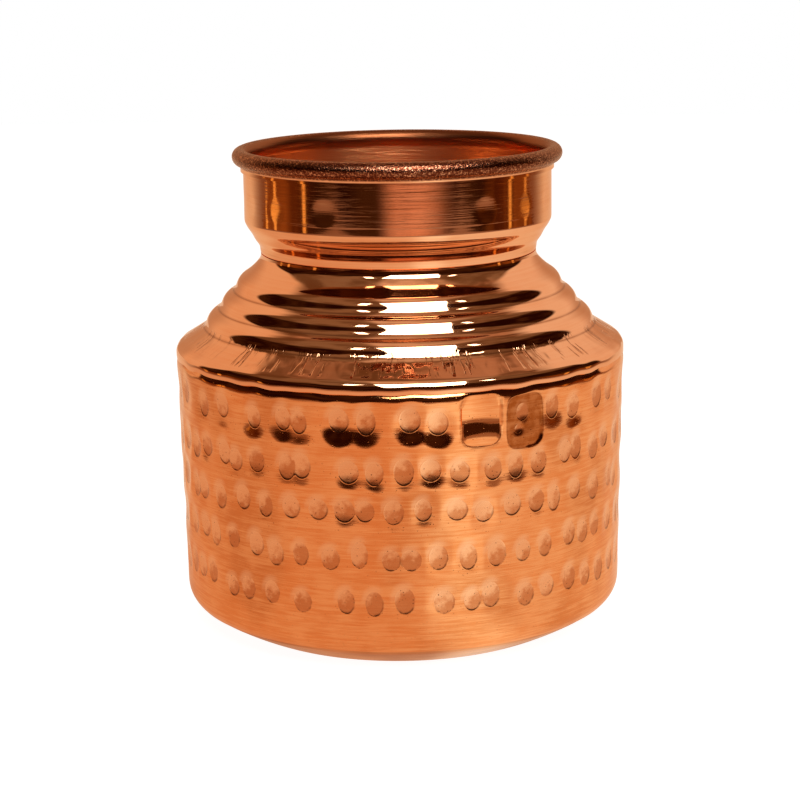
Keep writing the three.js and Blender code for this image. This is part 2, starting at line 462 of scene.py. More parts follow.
@dataclass(frozen=True)
class HammeredCopper(Copper):
    """Satin copper with hammer marks.

    The mesh's mark attribute holds the squared way to the nearest mark's middle, how far the point lies on the mark's
    upper left side, where the finish paints a highlight, and the mark's tone. Its facet attribute holds the same of the
    nearest facet, whose tone is how much painted shade it gets.
    """

    struck: Colour = (0.56, 0.215, 0.09)
    # The worn colour lightens the faces at random, and also as a painted highlight towards each face's upper left side.
    worn_and_highlight: Colour = (0.92, 0.55, 0.32)
    # The pale colour is a painted highlight on the upper left side of each mark and its bowl.
    painted_highlight: Colour = (0.97, 0.704, 0.472)
    # The stain colour darkens the pits and the facets' edges, and is also painted shade on the lower right of each
    # mark's rim.
    stain_and_shade: Colour = (0.1, 0.031, 0.015)
    # The patina colour is random tarnish, and also painted shade on the facet whose tone is 1.
    patina_and_shade: Colour = (0.36, 0.105, 0.022)
    struck_roughness: float = 0.2
    rim_depth: float = 0.016
    brink_height: float = 0.018
    pit_depth: float = 0.012
    smear_depth: float = 0.02
    grit_pitch: float = 0.8 * MM
    pit_pitch: float = 0.9 * MM
    smear_pitch: float = 2.2 * MM
    cloud_pitch: float = 9 * MM
    smoke_pitch: float = 26 * MM
    face_share: float = 0.72
    painted_highlight_share: float = 0.38
    smoke_share: float = 0.3
    brink_share: float = 0.32
    rim_share: float = 0.6

    def surface(self, tree: ShaderTree) -> dict:
        """Adds the dull, pitted faces of the marks, and the bright facets, to the brushed wall, with a painted
        highlight on the marks' upper left sides, painted shade on their lower rims and painted shade on one facet.
        """
        place = tree.place()
        reach, side, tone = tree.attribute("mark")
        facet, _, facet_shade = tree.attribute("facet")
        grit = tree.noise(place, self.grit_pitch, 3.0)
        smear = tree.noise(place, self.smear_pitch, 3.0, 0.6)
        cloud = tree.noise(place, self.cloud_pitch, 3.0)
        lines = self.lines(tree)
        fine = self.lines(tree, finer=3.0)
        bright = tree.step(facet + 0.15 * (lines - 0.5), 1.08, 0.95)
        inside = tree.step(reach + 0.25 * (grit - 0.5), 1.08, 0.94)
        rim = tree.window(reach, 0.6, 0.98, 1.02, 1.25)
        ring = tree.window(reach, 0.8, 1.0, 1.02, 1.22)
        pits = tree.step(tree.cells(place, self.pit_pitch), 0.24, 0.1) * tree.step(grit, 0.46, 0.6)
        brink = tree.window(facet, 0.7, 0.95, 1.05, 1.3)
        share = 0.3 * cloud + 0.35 * lines + 0.35 * fine
        smoke = tree.step(tree.noise(place, self.smoke_pitch), 0.5, 0.68) * tree.step(share, 0.42, 0.58, 0.5, 1.0)
        # Painted highlight: the upper left side of each mark and its bowl is painted pale.
        upper = tree.step(side, 0.2, 1.2) * tree.step(reach, 2.8, 1.1)
        blotched = tree.step(smear + 0.6 * (lines - 0.5), 0.3, 0.7, 0.7, 1.0)
        # A face is mixed at random between the struck and the worn colour, and is paler towards its upper left side, a
        # painted highlight.
        face = tree.mix(self.struck, self.worn_and_highlight, tree.step(smear + 0.4 * (tone - 0.5) + 0.28 * side, 0.32, 0.68))
        # Painted shade: the lower right of each mark's rim is painted dark.
        shaded = rim * tree.step(side, 0.1, -0.9) * tree.step(smear, 0.38, 0.6)
        colour = tree.layers(
            self.clean,
            (self.deep, tree.step(share, 0.4, 0.6)),
            (self.patina_and_shade, self.smoke_share * smoke),
            # Painted highlight on the marks' upper left sides.
            (self.painted_highlight, self.painted_highlight_share * upper),
            # Painted shade: the facet whose tone is 1 is darkened, in blotches.
            (self.patina_and_shade, bright * facet_shade * blotched),
            (self.stain_and_shade, self.brink_share * brink * tree.step(lines, 0.35, 0.6)),
            (face, inside * self.face_share),
            # Painted shade on the marks' lower right rims.
            (self.stain_and_shade, shaded * self.rim_share),
            (self.stain_and_shade, pits * (0.15 + 0.5 * inside)),
        )
        rough = tree.step(cloud, 0.3, 0.7, 0.8 * self.roughness, 1.35 * self.roughness)
        rough = rough + inside * (self.struck_roughness - rough) * tree.step(smear, 0.3, 0.6, 0.45, 1.0)
        rough = rough + bright * (1 - inside) * (0.05 + 0.06 * facet_shade - rough)
        height = (1 - 0.8 * inside) * (1 - 0.8 * bright) * (lines + 0.3 * fine) * (self.line_depth / MM)
        height = height - inside * self.smear_depth * smear - pits * self.pit_depth + brink * self.brink_height
        height = height + ring * self.rim_depth * tree.step(smear, 0.3, 0.5)
        return {"Base Color": colour, "Roughness": rough, "Normal": tree.bump(height)}


@dataclass(frozen=True)
class ScuffedCopper(Copper):
    """Mirror copper with painted shade in its valleys, and groups of short, darker scuffs on the cone band between two
    heights.

    The mesh's valley attribute is 1 at the bottom of a valley and 0 beside it.
    """

    band_low: float = 74.3 * MM
    band_high: float = 79.6 * MM
    band_radius: float = 54 * MM
    group_length: float = 9 * MM
    scuff_size: Point = (1.3 * MM, 5 * MM)
    scuff_depth: float = 0.1
    scuff_share: float = 0.6
    dent_size: Point = (4.5 * MM, 3.5 * MM)
    dent_depth: float = 0.04
    valley_share: float = 0.95
    valley_roughness: float = 0.12
    # The tarnish colour darkens the scuffs, and is also painted shade in the valleys.
    tarnish_and_shade: Colour = (0.4, 0.169, 0.075)

    def surface(self, tree: ShaderTree) -> dict:
        """Adds the painted shade in the valleys, and the darker scuffs, to the polished metal."""
        inputs = super().surface(tree)
        height = tree.parts(tree.place())[2]
        band = tree.window(
            height, self.band_low, self.band_low + 0.8 * MM, self.band_high - 1.2 * MM, self.band_high)
        groups = tree.unrolled(self.band_radius, self.group_length, 0.0)
        creases = tree.unrolled(self.band_radius, *self.scuff_size, 2.0)
        dents = tree.unrolled(self.band_radius, *self.dent_size)
        scuffs = tree.step(creases, 0.52, 0.62) * tree.step(groups, 0.46, 0.56) * band
        relief = self.lines(tree) * (self.line_depth / MM) - scuffs * self.scuff_depth
        # Painted shade: the bottoms of the valleys are darkened, in blotches.
        valley = tree.attribute("valley")[0] * tree.step(groups + 0.5 * self.lines(tree), 0.45, 0.8, 0.7, 1.0)
        dark = self.valley_share * valley + self.scuff_share * scuffs
        return {
            "Base Color": tree.mix(inputs["Base Color"], self.tarnish_and_shade, dark),
            "Roughness": inputs["Roughness"] + self.valley_roughness * valley,
            "Normal": tree.bump(relief - band * self.dent_depth * tree.step(dents, 0.42, 0.68)),
        }


@dataclass(frozen=True)
class RolledMouthCopper(Copper):
    """Polished copper with buffing lines, dull streaks on the collar, and a rough, dark mouth above a height.

    The mesh's outside attribute holds 1 or 0 for the outer face of the collar, and 1 or 0 for the inner face.
    """

    collar_height: float = 107.0 * MM
    mouth_height: float = 118.6 * MM
    crackle: Colour = (0.12, 0.025, 0.009)
    glint: Colour = (0.85, 0.451, 0.264)
    lining: Colour = (0.76, 0.29, 0.11)
    grain_pitch: float = 0.38 * MM
    creep_pitch: float = 0.55 * MM
    skin_depth: float = 0.07
    skin_roughness: float = 0.1
    lining_depth: float = 0.07
    lining_roughness: float = 0.26
    streak_size: Point = (22 * MM, 0.5 * MM)
    streak_depth: float = 0.016
    streak_dullness: float = 0.05
    fine_size: Point = (12 * MM, 0.2 * MM)
    fine_depth: float = 0.004
    fine_dullness: float = 0.015
    bead_height: float = 121 * MM
    bead_shade: float = 0.78

    def surface(self, tree: ShaderTree) -> dict:
        """Adds the rolled mouth's darker and rougher skin, and the duller inner face, to the buffed neck."""
        place = tree.place()
        inputs = super().surface(tree)
        height = tree.parts(place)[2]
        outside, inner, _ = tree.attribute("outside")
        mouth = tree.step(height, self.mouth_height - 0.2 * MM, self.mouth_height + 0.4 * MM) * outside
        collar = tree.step(height, self.collar_height, self.collar_height + 0.6 * MM) * (1 - mouth) * outside
        grain = tree.cells(place, self.grain_pitch)
        creep = tree.noise(place, self.creep_pitch, 4.0, 0.7)
        fine = tree.brushed(*self.fine_size)
        streaks = tree.brushed(*self.streak_size, 3.0)
        skin = tree.mix(self.crackle, self.glint, tree.step(creep + 0.2 * grain, 0.54, 0.92))
        metal = tree.mix(inputs["Base Color"], self.lining, inner)
        bead = tree.step(height, self.mouth_height + MM, self.bead_height)
        metal = tree.mix(metal, self.crackle, self.bead_shade * bead)
        dull = self.fine_dullness * tree.step(fine, 0.45, 0.6) + self.streak_dullness * tree.step(streaks, 0.56, 0.72)
        rough = inputs["Roughness"] + mouth * self.skin_roughness + collar * dull + inner * self.lining_roughness
        relief = (1 - mouth) * self.lines(tree) * (self.line_depth / MM) + mouth * self.skin_depth * (grain + creep)
        relief = relief + fine * (self.fine_depth * collar + self.lining_depth * inner)
        relief = relief + streaks * self.streak_depth * collar
        return {"Base Color": tree.mix(metal, skin, mouth), "Roughness": rough, "Normal": tree.bump(relief)}


# Each finish has its name, its slot, its clean and its deep colour, its roughness and its lines.
DRUM_COPPER = HammeredCopper("hammered_satin_copper", Slot.DRUM, (0.92, 0.465, 0.208), (0.82, 0.324, 0.113), 0.08,
                             line_depth=0.010 * MM, line_pitch=0.7 * MM, line_length=16 * MM)
SHOULDER_COPPER = ScuffedCopper("mirror_copper", Slot.SHOULDER, (0.91, 0.521, 0.302), (0.87, 0.437, 0.226), 0.045,
                                line_depth=0.0012 * MM, line_pitch=0.5 * MM, line_length=40 * MM)
NECK_COPPER = RolledMouthCopper("buffed_copper", Slot.NECK, (0.92, 0.563, 0.34), (0.86, 0.437, 0.226), 0.06,
                                line_depth=0.004 * MM, line_pitch=0.7 * MM, line_length=30 * MM,
                                edge=(1.0, 0.82, 0.68))
BASE_COPPER = Copper("tarnished_copper", Slot.BASE, (0.74, 0.38, 0.189), (0.5, 0.197, 0.085), 0.18,
                     line_depth=0.01 * MM, line_pitch=1.2 * MM)
WIRE_COPPER = Copper("drawn_copper", Slot.WIRE, (0.62, 0.26, 0.13), (0.45, 0.17, 0.08), 0.4,
                     line_depth=0.004 * MM)
BRAZE_METAL = Copper("flowed_braze", Slot.BRAZE, (0.74, 0.52, 0.22), (0.55, 0.34, 0.12), 0.32,
                     line_depth=0.03 * MM, line_pitch=2 * MM, line_length=3 * MM)


@dataclass
class TurnedSheet:
    """A piece of sheet metal turned about the Z axis, which stands for a CAD node.

    It is turned in a number of columns. The points of its outer and inner face lie a spacing apart.
    """

    name: str
    node: str
    finish: Copper
    columns: int
    spacing: float
    inner_spacing: float
    passes: int = 2
    joinery: Joinery = Joinery()

    def outline(self) -> Outline:
        """The line up the outer face. Each piece draws its own."""
        raise NotImplementedError

    def shape(self, places: Places) -> None:
        """Moves the points of the turned piece. A plain piece leaves them."""

    def dress(self, piece: bpy.types.Object, places: Places) -> None:
        """Adds what the finish reads from the mesh. A plain piece needs nothing."""

    def section(self) -> Outline:
        """The closed section of the sheet, once round from the outer face's foot."""
        outer = self.outline().spaced(self.spacing, self.passes)
        inner = outer.beside(self.joinery.sheet).spaced(self.inner_spacing)
        return Outline(outer.points + inner.points[::-1] + outer.points[:1])

    def build(self) -> bpy.types.Object:
        """Returns:
            The finished object.
        """
        piece = turned(self.name, self.section(), self.columns)
        places = Places.of(piece)
        self.dress(piece, places)
        self.shape(places)
        places.write(piece)
        bpy.ops.object.shade_smooth_by_angle(angle=math.radians(40))
        piece.data.materials.clear()
        piece.data.materials.append(self.finish.material())
        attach(piece, ROOT)
        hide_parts(self.node)
        log.info("%s stands for %s with %d faces", self.name, self.node, len(piece.data.polygons))
        return piece


def write_attribute(piece: bpy.types.Object, name: str, rows: np.ndarray) -> None:
    """Gives a piece's points a vector attribute, with one row for each point."""
    piece.data.attributes.new(name, "FLOAT_VECTOR", "POINT").data.foreach_set("vector", rows.ravel())


def bowl(across: np.ndarray, up: np.ndarray) -> np.ndarray:
    """The shape of a round bowl: 1 in the middle and 0 from a way of 1 on."""
    return np.clip(1.0 - across ** 2 - up ** 2, 0.0, None)


@dataclass(frozen=True)
class Mark:
    """One blow of the hammer: where it fell, half its face's size, its depth, its tone and its bowl's drop below it."""

    azimuth: float
    height: float
    width: float
    tall: float
    depth: float
    tone: float
    drop: float = 0.0


@dataclass(frozen=True)
class Facet(Mark):
    """A bright facet that a flat hammer left. Its tone is how much painted shade darkens it and how much duller it is,
    and it also has a sink and a lean.
    """

    sink: float = 0.0
    lean: float = 0.0


@dataclass(frozen=True)
class Row:
    """A row of hammer marks.

    It has a height, a count, a first azimuth in degrees, a seed, a depth and a drop of its bowls. Towards the sides
    its marks lose a share of their depth.
    """

    height: float
    count: int
    start: float
    seed: int
    depth: float
    drop: float = 0.0
    lost: float = 0.0

    def marks(self, unevenness: float, width: float, tall: float) -> list[Mark]:
        """Places the row's marks.

        Args:
            unevenness: how far a mark may stray, as a share of the spacing.
            width: half the width of a mark's face.
            tall: half its height.

        Returns:
            The marks in order.
        """
        draw = random.Random(self.seed)
        shifts = [draw.uniform(-1.0, 1.0) for _ in range(self.count)]
        marks = []
        for i, shift in enumerate(shifts):
            azimuth = math.radians(self.start + 360 / self.count * (i + unevenness * shift))
            marks.append(Mark(
                azimuth=azimuth,
                height=self.height + draw.uniform(-0.9, 0.9) * MM,
                width=width * draw.uniform(0.88, 1.12),
                tall=tall * draw.uniform(0.85, 1.1),
                depth=self.depth * draw.uniform(0.75, 1.2) * (1.0 - self.lost * (1.0 - math.cos(azimuth) ** 4)),
                tone=draw.random(),
                drop=self.drop,
            ))
        return marks


@dataclass
class Drum(TurnedSheet):
    """The hammered drum, which is tucked in under the shoulder and lapped over the base."""

    top_radius: float = 57.53 * MM
    foot_radius: float = 56.43 * MM
    joint_height: float = 70.52 * MM
    wall_height: float = 59.3 * MM
    corner_radius: float = 5.9 * MM
    corner_turn: float = 50.0
    tuck_radius: float = 54.63 * MM
    tuck_rise: float = 1.05 * MM
    tuck_bend: float = 2.25 * MM
    tuck_turn: float = 25.0
    mark_width: float = 2.35 * MM
    mark_tall: float = 3.0 * MM
    halo_width: float = 5.4 * MM
    halo_tall: float = 6.0 * MM
    unevenness: float = 0.36
    facet_edge: float = 0.3
    spread: float = 1.5
    plain_height: float = 12 * MM
    plain_fade: float = 6 * MM
    rows: tuple[Row, ...] = (
        Row(64.0 * MM, 41, -5.6, 201, 0.80 * MM, 1.0 * MM, 0.62),
        Row(52.3 * MM, 50, -0.9, 48101, 0.46 * MM),
        Row(41.9 * MM, 49, 6.2, 50065, 0.42 * MM),
        Row(31.1 * MM, 51, 2.1, 46722, 0.36 * MM),
        Row(19.8 * MM, 46, -0.5, 51867, 0.32 * MM),
    )
    # The second facet's tone of 1 darkens it as painted shade.
    facets: tuple[Facet, ...] = (
        Facet(math.radians(19.4), 63.7 * MM, 5.4 * MM, 6.6 * MM, 0.60 * MM, 0.0, -1.2 * MM, 0.08 * MM, 0.0),
        Facet(math.radians(31.2), 62.3 * MM, 5.4 * MM, 6.7 * MM, 0.20 * MM, 1.0, -1.2 * MM, 0.16 * MM, 0.05),
    )
    facet_marks: tuple[Mark, ...] = (
        Mark(math.radians(30.4), 64.6 * MM, 1.8 * MM, 2.2 * MM, 0.25 * MM, 0.1),
        Mark(math.radians(29.2), 60.6 * MM, 1.1 * MM, 1.1 * MM, 0.2 * MM, 0.0),
    )
    # Each line of waves leans, in radians round for each metre up.
    wall_waves: tuple[tuple[Waves, float], ...] = (
        (Waves(7, 0.055 * MM, 5, 18), -40.0),
        (Waves(8, 0.055 * MM, 5, 18), 0.0),
        (Waves(9, 0.055 * MM, 5, 18), 40.0),
    )

    def outline(self) -> Outline:
        """Up round the corner, up the wall, and in under the shoulder's skirt."""
        corner = (self.foot_radius - self.corner_radius, self.joint_height - self.wall_height)
        line = Outline().arc(corner, self.corner_radius, -self.corner_turn, 0)
        line.to(self.top_radius, self.joint_height - self.joinery.sheet)
        line.to(self.tuck_radius + self.tuck_bend, self.joint_height)
        return line.arc((self.tuck_radius, self.joint_height + self.tuck_rise), self.tuck_bend, 0, self.tuck_turn, 4)

    def marks(self) -> list[Mark]:
        """All marks of the rows, less those that a facet covers."""
        every = (mark for row in self.rows for mark in row.marks(self.unevenness, self.mark_width, self.mark_tall))
        return [mark for mark in every if not any(self.covers(facet, mark) for facet in self.facets)]

    def covers(self, facet: Facet, mark: Mark) -> bool:
        """Whether a mark's middle lies on a facet."""
        across = float(wrapped(np.array(mark.azimuth - facet.azimuth))) * self.top_radius
        return abs(across) < facet.width and abs(mark.height - facet.height) < facet.tall

    def reach(self, places: Places, mark: Mark, width: float, tall: float, drop: float = 0.0) -> tuple[np.ndarray, ...]:
        """How far across and up from a mark's middle, or a drop below it, each point lies, in widths and heights."""
        across = wrapped(places.azimuth - mark.azimuth) * self.top_radius / width
        return across, (places.height - mark.height + drop) / tall

    def nearest(self, places: Places, marks: Sequence[Mark], power: int) -> np.ndarray:
        """What the finish reads about the nearest mark at each point.

        Args:
            places: the points.
            marks: the marks or facets.
            power: 2 for oval faces, or 4 for squarer ones.

        Returns:
            Rows of the way to the middle, the way to the upper left, and the mark's tone.
        """
        near = np.full((len(places.height), 3), 30.0)
        for mark in marks:
            across, up = self.reach(places, mark, mark.width, mark.tall)
            way = across ** power + up ** power
            nearer = way < near[:, 0]
            near[nearer] = np.column_stack([way, up - 0.5 * across, np.full_like(up, mark.tone)])[nearer]
        return near

    def dress(self, piece: bpy.types.Object, places: Places) -> None:
        """Writes where the marks and the facets are."""
        write_attribute(piece, "mark", self.nearest(places, (*self.marks(), *self.facet_marks), 2))
        write_attribute(piece, "facet", self.nearest(places, self.facets, 4))

    def shape(self, places: Places) -> None:
        """Presses the marks and facets in, and makes the top edge uneven."""
        hollow = np.zeros_like(places.height)
        for mark in self.marks():
            across, up = self.reach(places, mark, self.halo_width, self.halo_tall, mark.drop)
            hollow += (mark.depth * bowl(across, up) ** 2) ** 3
        hollow = np.cbrt(hollow)
        for facet in self.facets:
            across, up = self.reach(places, facet, facet.width, facet.tall)
            edge = smooth((1.0 - across ** 4 - up ** 4) / self.facet_edge)
            up = self.reach(places, facet, facet.width, facet.tall, facet.drop)[1]
            pressed = facet.sink + facet.depth * bowl(0.0, up) ** 2 + facet.lean * across * facet.width
            hollow = hollow * (1.0 - edge) + pressed * edge
        for mark in self.facet_marks:
            across, up = self.reach(places, mark, self.spread * mark.width, self.spread * mark.tall)
            hollow += mark.depth * bowl(across, up) ** 2
        waves = sum(wave.at(places.azimuth + lean * places.height) for wave, lean in self.wall_waves)
        settled = smooth((places.height - self.plain_height) / self.plain_fade)
        places.radius -= settled * (hollow + waves)
        rise = smooth((places.height - self.joint_height) / self.joinery.seam_fade + 1.0)
        places.height += rise * SEAM_WAVES.at(places.azimuth)


@dataclass(frozen=True)
class Rib:
    """A rib of the shoulder: the length of its crest and of the valley below it."""

    crest: float
    valley: float


@dataclass
class Shoulder(TurnedSheet):
    """The spun and polished upper body: throat, three ribs, cone band, knuckle and skirt."""

    lip_top: float = 96.67 * MM
    waist_radius: float = 35.2 * MM
    lip_height: float = 0.4 * MM
    throat_radius: float = 2.6 * MM
    throat_slope: float = 52.0
    throat_run: float = 5.5 * MM
    throat_end_slope: float = 32.0
    steep_slope: float = 73.0
    gentle_slope: float = 26.0
    ribs: tuple[Rib, ...] = (Rib(3.05 * MM, 2.9 * MM), Rib(3.2 * MM, 3.1 * MM), Rib(3.35 * MM, 2.65 * MM))
    cone_length: float = 6.23 * MM
    cone_slope: float = 32.0
    knuckle_radius: float = 2.4 * MM
    skirt_height: float = 1.13 * MM
    dents: int = 31
    dent_seed: int = 12
    dent_rise: float = 5.0 * MM
    band_radius: float = 54 * MM
    band_normal: Point = (0.59, 0.81)
    ripples: Waves = Waves(41, 0.012 * MM, 4, 16)
    ripple_lean: float = 60.0
    valley_width: float = 0.45 * MM

    def spine(self) -> tuple[Outline, list[Point]]:
        """The line from the lip down to the skirt's foot, and the middles of its valleys."""
        line = Outline().to(self.waist_radius, self.lip_top)
        throat = (self.waist_radius + self.throat_radius, self.lip_top - self.lip_height)
        line.arc(throat, self.throat_radius, 180, 270 - self.throat_slope)
        line.bend(self.throat_run, self.throat_slope, self.throat_end_slope)
        slope = self.throat_end_slope
        middles = []
        for rib in self.ribs:
            below = self.cone_slope if rib is self.ribs[-1] else self.gentle_slope
            line.bend(rib.crest, slope, self.steep_slope).bend(rib.valley, self.steep_slope, below)
            middles.append(line.points[-8])
            slope = below
        line.bend(self.cone_length, self.cone_slope, self.cone_slope)
        knuckle = on_circle(line.points[-1], self.knuckle_radius, -90 - self.cone_slope)
        line.arc(knuckle, self.knuckle_radius, 90 - self.cone_slope, 0)
        return line.to(knuckle[0] + self.knuckle_radius, knuckle[1] - self.skirt_height), middles

    def outline(self) -> Outline:
        """Up the skirt, the knuckle, the cone band and the ribs to the lip."""
        return Outline(self.spine()[0].points[::-1])

    def dress(self, piece: bpy.types.Object, places: Places) -> None:
        """Writes which points lie at the bottom of a valley, which the finish darkens as painted shade."""
        way = np.full_like(places.height, 1.0)
        for radius, height in self.spine()[1]:
            way = np.minimum(way, np.hypot(places.radius - radius, places.height - height))
        valley = smooth(1.0 - way / self.valley_width)
        write_attribute(piece, "valley", np.column_stack([valley] * 3))

    def shape(self, places: Places) -> None:
        """Makes the skirt follow the drum's uneven edge, and dents the cone band."""
        foot = float(places.height.min())
        band = foot + self.skirt_height + self.dent_rise
        draw = random.Random(self.dent_seed)
        hollow = np.zeros_like(places.height)
        for i in range(self.dents):
            azimuth = 2 * math.pi * (i + draw.uniform(-0.35, 0.35)) / self.dents
            across = wrapped(places.azimuth - azimuth) * self.band_radius / (draw.uniform(2.2, 4.0) * MM)
            up = (places.height - band - draw.uniform(-0.8, 0.8) * MM) / (draw.uniform(1.2, 2.0) * MM)
            hollow += draw.uniform(0.01, 0.05) * MM * bowl(across, up) ** 2
        hollow += self.ripples.at(places.azimuth + self.ripple_lean * places.height)
        places.radius -= self.band_normal[0] * hollow
        places.height -= self.band_normal[1] * hollow
        fall = smooth((foot - places.height) / self.joinery.seam_fade + 1.0)
        places.height += fall * SEAM_WAVES.at(places.azimuth)


@dataclass
class Neck(TurnedSheet):
    """The waisted neck, the collar band and the mouth, rolled outwards round a wire."""

    waist_height: float = 96.27 * MM
    waist_radius: float = 35.2 * MM
    lip_height: float = 0.4 * MM
    tail_depth: float = 3.0 * MM
    seam: float = 0.04 * MM
    curve_radius: float = 3.0 * MM
    flare: float = 31.0
    collar_step: float = 3.95 * MM
    edge_radius: float = 0.9 * MM
    collar_height: float = 12.5 * MM
    hem_height: float = 1.45 * MM
    hem_gap: float = 0.15 * MM
    bead_radius: float = 2.15 * MM
    curl_end: float = -70.0
    dimples: int = 18
    dimple_start: float = -68.5
    dimple_height: float = 110.4 * MM
    dimple_radius: float = 3.6 * MM
    dimple_depth: float = 0.13 * MM
    dimple_seed: int = 4
    dimple_ring: float = 39 * MM
    buffed_away: tuple[int, ...] = (3, 4)
    buffed_share: float = 0.06
    ridges: tuple[float, ...] = (97.7 * MM, 100.5 * MM, 103.5 * MM)
    ridge_height: float = 0.11 * MM
    ridge_width: float = 0.75 * MM

    def outline(self) -> Outline:
        """Up from the tail inside the shoulder to the collar, round the wire and down to the hem."""
        lap, sheet = self.joinery.lap, self.joinery.sheet
        joint = self.waist_height + self.lip_height
        line = Outline().to(self.waist_radius - lap, self.waist_height - self.tail_depth)
        line.to(self.waist_radius - lap, joint + self.seam).to(self.waist_radius, joint + self.seam)
        curve = (self.waist_radius + self.curve_radius, joint + lap)
        line.arc(curve, self.curve_radius, 180, 180 - self.flare)
        collar = self.waist_radius + self.collar_step
        edge_run = self.edge_radius * (1 - math.cos(math.radians(self.flare)))
        rise = (collar - edge_run - line.points[-1][0]) / math.tan(math.radians(self.flare))
        edge = line.points[-1][1] + rise + self.edge_radius * math.sin(math.radians(self.flare))
        line.arc((collar - self.edge_radius, edge), self.edge_radius, -self.flare, 0)
        hem_foot = edge + self.collar_height
        curl, reach = self.bead_radius - sheet, self.hem_gap + sheet
        bead = (collar + reach, hem_foot + self.hem_height + self.bead_radius)
        start = 180 + math.degrees(math.acos(reach / curl))
        line.arc(bead, curl, start, self.curl_end, 40)
        line.to(collar + self.hem_gap, bead[1] - curl)
        return line.to(collar + self.hem_gap, hem_foot)

    def dress(self, piece: bpy.types.Object, places: Places) -> None:
        """Writes which points lie on the outer face of the collar, and which on the inner face."""
        collar = self.waist_radius + self.collar_step
        outside = smooth((places.radius - collar + 0.4 * MM) / (0.3 * MM))
        faces = np.empty(3 * len(piece.data.vertices))
        piece.data.vertices.foreach_get("normal", faces)
        faces = faces.reshape(-1, 3)
        inwards = -faces[:, 0] * np.sin(places.azimuth) + faces[:, 1] * np.cos(places.azimuth)
        inner = smooth((inwards - 0.2) / 0.4) * (places.radius < collar + 0.3 * MM)
        write_attribute(piece, "outside", np.column_stack([outside, inner, inner]))

    def shape(self, places: Places) -> None:
        """Presses the row of dimples into the foot of the collar, and raises soft ridges on the flare."""
        draw = random.Random(self.dimple_seed)
        hollow = np.zeros_like(places.height)
        for i in range(self.dimples):
            azimuth = math.radians(self.dimple_start + 360 * i / self.dimples + draw.uniform(-1.5, 1.5))
            depth = self.dimple_depth * draw.uniform(0.7, 1.25) * (self.buffed_share if i in self.buffed_away else 1.0)
            across = wrapped(places.azimuth - azimuth) * self.dimple_ring / self.dimple_radius
            up = (places.height - self.dimple_height - draw.uniform(-0.4, 0.4) * MM) / self.dimple_radius
            hollow += depth * bowl(across, up) ** 1.6
        for ridge in self.ridges:
            hollow -= self.ridge_height * np.exp(-((places.height - ridge) / self.ridge_width) ** 2)
        places.radius -= hollow


@dataclass
class Base(TurnedSheet):
    """The dished base, which stands on a flat ring and steps in behind the drum's foot."""

    foot_radius: float = 56.43 * MM
    corner_radius: float = 5.9 * MM
    corner_turn: float = 50.0
    corner_height: float = 11.22 * MM
    flange_height: float = 2.2 * MM
    stand_inset: float = 15.4 * MM
    stand_rounding: float = 4.0 * MM
    stand_slope: float = 23.5
    stand_width: float = 7.0 * MM
    push_up: float = 1.2 * MM
    push_up_run: float = 2.4 * MM

    def outline(self) -> Outline:
        """Out from the axis under the pot, round the ring it stands on, and up behind the drum."""
        lap = self.joinery.lap
        stand = self.foot_radius - self.stand_inset
        inner_stand = stand - self.stand_width
        seam_turn = self.corner_turn + turn_of(lap, self.corner_radius)
        corner = (self.foot_radius - self.corner_radius, self.corner_height)
        seam_slope = 90 - seam_turn
        seam_radius = corner[0] + self.corner_radius * math.cos(math.radians(seam_turn))
        line = Outline([(0.02 * MM, self.push_up), (inner_stand - self.push_up_run, self.push_up), (inner_stand, 0.0)])
        rounding = (stand, self.stand_rounding)
        line.arc(rounding, self.stand_rounding, -90, -90 + self.stand_slope, 6)
        end = line.points[-1]
        under = (seam_radius - end[0]) / (
            math.sin(math.radians(seam_slope)) - math.sin(math.radians(self.stand_slope)))
        line.arc(on_circle(end, under, 90 + self.stand_slope), under, -90 + self.stand_slope, -90 + seam_slope, 12)
        lap_radius = self.corner_radius - lap
        line.arc(corner, lap_radius, -self.corner_turn - turn_of(self.joinery.gap, lap_radius), 0, 8)
        return line.to(corner[0] + lap_radius, corner[1] + self.flange_height)


@dataclass(frozen=True)
class Lamp:
    """A rectangular lamp that faces the pot.

    Its way from the pot is in degrees, round from the front to the right and above the level. A radiance of 1 is
    that of white paper in plain light.
    """

    name: str
    azimuth: float
    elevation: float
    width: float
    height: float
    radiance: float
    distance: float = 0.85

    def hang(self, aim_height: float) -> None:
        """Adds the lamp, unseen by the camera, with its face to the pot's axis at a height."""
        around, above = math.radians(self.azimuth), math.radians(self.elevation)
        away = Vector((math.sin(around) * math.cos(above), -math.cos(around) * math.cos(above), math.sin(above)))
        bpy.ops.object.light_add(type="AREA", location=Vector((0.0, 0.0, aim_height)) + away * self.distance)
        lamp = bpy.context.object
        lamp.name = self.name
        lamp.rotation_euler = (-away).to_track_quat("-Z", "Y").to_euler()
        lamp.data.shape = "RECTANGLE"
        lamp.data.size = self.width
        lamp.data.size_y = self.height
        lamp.data.energy = self.radiance * math.pi * self.width * self.height
        lamp.visible_camera = False


